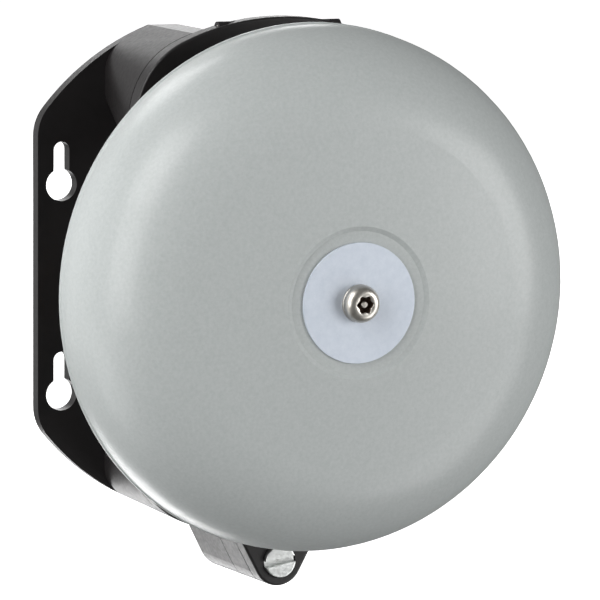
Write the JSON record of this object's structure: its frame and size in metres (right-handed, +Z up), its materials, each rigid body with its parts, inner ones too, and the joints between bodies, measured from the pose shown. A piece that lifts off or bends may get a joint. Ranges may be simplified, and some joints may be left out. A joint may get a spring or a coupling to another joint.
{
  "type": "fire alarm bell",
  "caption": "Wall-mounted electric alarm bell: a round gong struck from inside, on a hinged front unit closed by a slotted screw over a flanged wiring box.",
  "frame": {"origin": "centre of the gong's axis on the wall face", "axes": "+Z up, +X to the right seen from the front, the front faces -Y"},
  "size_m": [0.15, 0.0977, 0.1663],
  "materials": {
    "black_moulding": "satin moulded",
    "seal_rubber": "matte",
    "brass_plain": "machined",
    "steel_plain": "ground",
    "steel_zinc": "zinc plated",
    "gong_paint": "semi-matt light grey",
    "label_aluminium": "fine satin",
    "bobbin_nylon": "natural nylon",
    "coil_wire": "enamelled copper",
    "insulating_board": "laminated board",
    "terminal_plastic": "moulded",
    "lead_red": "insulation",
    "lead_blue": "insulation",
    "suppressor_case": "moulded"
  },
  "bodies": {
    "back_box": {"back_box": "black_moulding", "box_seal": "seal_rubber", "entry_grommet": "seal_rubber", "lug_insert": "brass_plain", "hinge_pin": "steel_plain"},
    "front_unit": {"bracket_fixings": "steel_zinc", "coil_bobbin": "bobbin_nylon", "coil_core": "steel_plain", "coil_lead": "lead_blue", "coil_screw": "steel_zinc", "coil_winding": "coil_wire", "contact_bracket": "brass_plain", "contact_insulator": "insulating_board", "contact_lead": "lead_red", "contact_lock_nut": "brass_plain", "contact_screw": "brass_plain", "frame_screws": "steel_zinc", "front_plate": "black_moulding", "gong": "gong_paint", "gong_post": "steel_plain", "gong_screw": "steel_plain", "gong_washer": "seal_rubber", "inner_frame": "black_moulding", "label_disc": "label_aluminium", "lead_grommet": "seal_rubber", "pivot_pin": "steel_plain", "post_nut": "steel_zinc", "post_washer": "steel_zinc", "screw_washer": "steel_plain", "spark_suppressor": "suppressor_case", "terminal_block": "terminal_plastic", "terminal_fixings": "steel_zinc", "terminal_screws": "steel_zinc", "yoke": "steel_zinc", "yoke_fixings": "steel_zinc"},
    "striker": {"armature_plate": "steel_zinc", "hammer_rod": "steel_plain", "hammer_head": "brass_plain", "contact_leaf": "brass_plain", "leaf_rivets": "brass_plain"},
    "closing_screw": {"lug_screw": "steel_zinc"}
  },
  "joints": [
    {"name": "front_hinge", "type": "hinge", "parent": "back_box", "child": "front_unit", "pos_m": [0, -0.036, 0.0718], "axis": [-1, 0, 0], "range_deg": [0, 60]},
    {"name": "striker_pivot", "type": "hinge", "parent": "front_unit", "child": "striker", "pos_m": [-0.029, -0.059, -0.047], "axis": [0, 1, 0], "range_deg": [0, 3], "stiffness_Nm_per_rad": 0.35, "springref_deg": -3.44},
    {"name": "closing_screw_slide", "type": "slide", "parent": "front_unit", "child": "closing_screw", "axis": [0, -1, 0], "range_m": [0, 0.006]}
  ]
}
